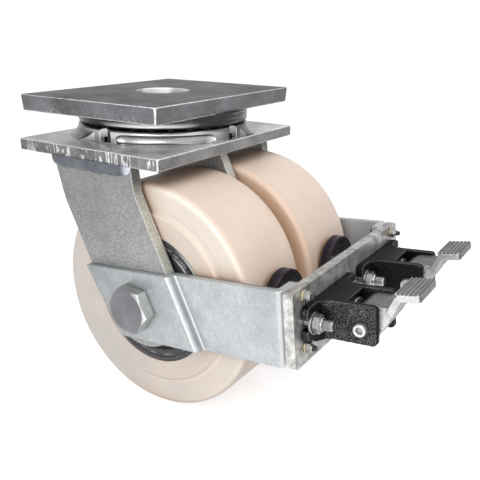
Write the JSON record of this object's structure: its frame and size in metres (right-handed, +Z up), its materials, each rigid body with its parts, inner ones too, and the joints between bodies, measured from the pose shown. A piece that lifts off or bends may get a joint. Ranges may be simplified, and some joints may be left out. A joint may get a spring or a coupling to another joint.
{
  "type": "twin-wheel swivel castor with brakes",
  "caption": "Heavy-duty swivel castor with twin nylon wheels on a plate fork, and a rear brake frame whose pedals press rubber pads against the wheels.",
  "frame": {"origin": "swivel axis on the top face of the mounting plate", "axes": "+Z up out of the mounting face, +X towards the trailing wheels and the brakes, +Y along the axle towards its nut"},
  "size_m": [0.3587, 0.261, 0.263],
  "materials": {
    "zinc_plate": "zinc-plated, satin, with light scale marks",
    "zinc_fork": "zinc-plated over a rough hot-rolled surface",
    "zinc_sheet": "bright zinc-plated sheet",
    "zinc_fastener": "zinc-plated fastener",
    "yellow_zinc": "yellow-passivated zinc",
    "weld": "weld bead under zinc plating",
    "bearing_steel": "ground and polished",
    "cream_nylon": "smooth cast nylon, faintly glossy",
    "black_cap": "glossy dark grey",
    "black_casting": "black, rough as cast",
    "lever_casting": "zinc-plated casting with bright worn edges",
    "pad_rubber": "matt black"
  },
  "bodies": {
    "plate_body": {"top_plate": "zinc_plate", "upper_race": "zinc_plate"},
    "fork_body": {"lower_race": "zinc_plate", "race_balls": "bearing_steel", "kingpin": "zinc_fastener", "kingpin_washer": "zinc_fastener", "kingpin_nut": "zinc_fastener", "lower_plate": "zinc_plate", "leg_left": "zinc_fork", "leg_right": "zinc_fork", "centre_leg": "zinc_fork", "leg_welds": "weld", "axle_bolt": "zinc_fastener", "axle_nut": "zinc_fastener", "axle_spacers": "zinc_fastener", "bearing_inner_rings": "bearing_steel", "brake_arm_left": "zinc_sheet", "brake_arm_right": "zinc_sheet", "cross_plate": "zinc_sheet", "frame_bolts": "zinc_fastener", "frame_nuts": "zinc_fastener", "frame_washers": "yellow_zinc", "brake_housing_left": "black_casting", "brake_housing_right": "black_casting", "unit_studs": "zinc_fastener", "unit_nuts": "zinc_fastener", "unit_washers": "zinc_fastener", "pivot_screws": "zinc_fastener", "pivot_washers": "zinc_fastener"},
    "wheel_body_left": {"wheel_left": "cream_nylon", "hub_caps_left": "black_cap", "bearing_outer_rings_left": "bearing_steel"},
    "lever_body_left": {"brake_lever_left": "lever_casting"},
    "pad_body_left": {"plunger_left": "zinc_fastener", "pad_backing_left": "zinc_fastener", "brake_pad_left": "pad_rubber"},
    "wheel_body_right": {"wheel_right": "cream_nylon", "hub_caps_right": "black_cap", "bearing_outer_rings_right": "bearing_steel"},
    "lever_body_right": {"brake_lever_right": "lever_casting"},
    "pad_body_right": {"plunger_right": "zinc_fastener", "pad_backing_right": "zinc_fastener", "brake_pad_right": "pad_rubber"}
  },
  "joints": [
    {"name": "swivel", "type": "hinge", "parent": "plate_body", "child": "fork_body", "pos_m": [0, 0, 0], "axis": [0, 0, 1], "continuous": true},
    {"name": "wheel_spin_left", "type": "hinge", "parent": "fork_body", "child": "wheel_body_left", "pos_m": [0.057, -0.05, -0.163], "axis": [0, 1, 0], "continuous": true},
    {"name": "wheel_spin_right", "type": "hinge", "parent": "fork_body", "child": "wheel_body_right", "pos_m": [0.057, 0.05, -0.163], "axis": [0, 1, 0], "continuous": true},
    {"name": "lever_press_left", "type": "hinge", "parent": "fork_body", "child": "lever_body_left", "pos_m": [0.23845, -0.05, -0.14854], "axis": [0, 1, 0], "range_deg": [0, 24]},
    {"name": "pad_slide_left", "type": "slide", "parent": "fork_body", "child": "pad_body_left", "axis": [-0.9954, 0, -0.0958], "range_m": [0, 0.00202]},
    {"name": "lever_press_right", "type": "hinge", "parent": "fork_body", "child": "lever_body_right", "pos_m": [0.23845, 0.05, -0.14854], "axis": [0, 1, 0], "range_deg": [0, 24]},
    {"name": "pad_slide_right", "type": "slide", "parent": "fork_body", "child": "pad_body_right", "axis": [-0.9954, 0, -0.0958], "range_m": [0, 0.00202]}
  ],
  "couplings": [
    {"joint": "pad_slide_left", "follows": "lever_press_left", "m_per_rad": 0.0048},
    {"joint": "pad_slide_right", "follows": "lever_press_right", "m_per_rad": 0.0048}
  ]
}
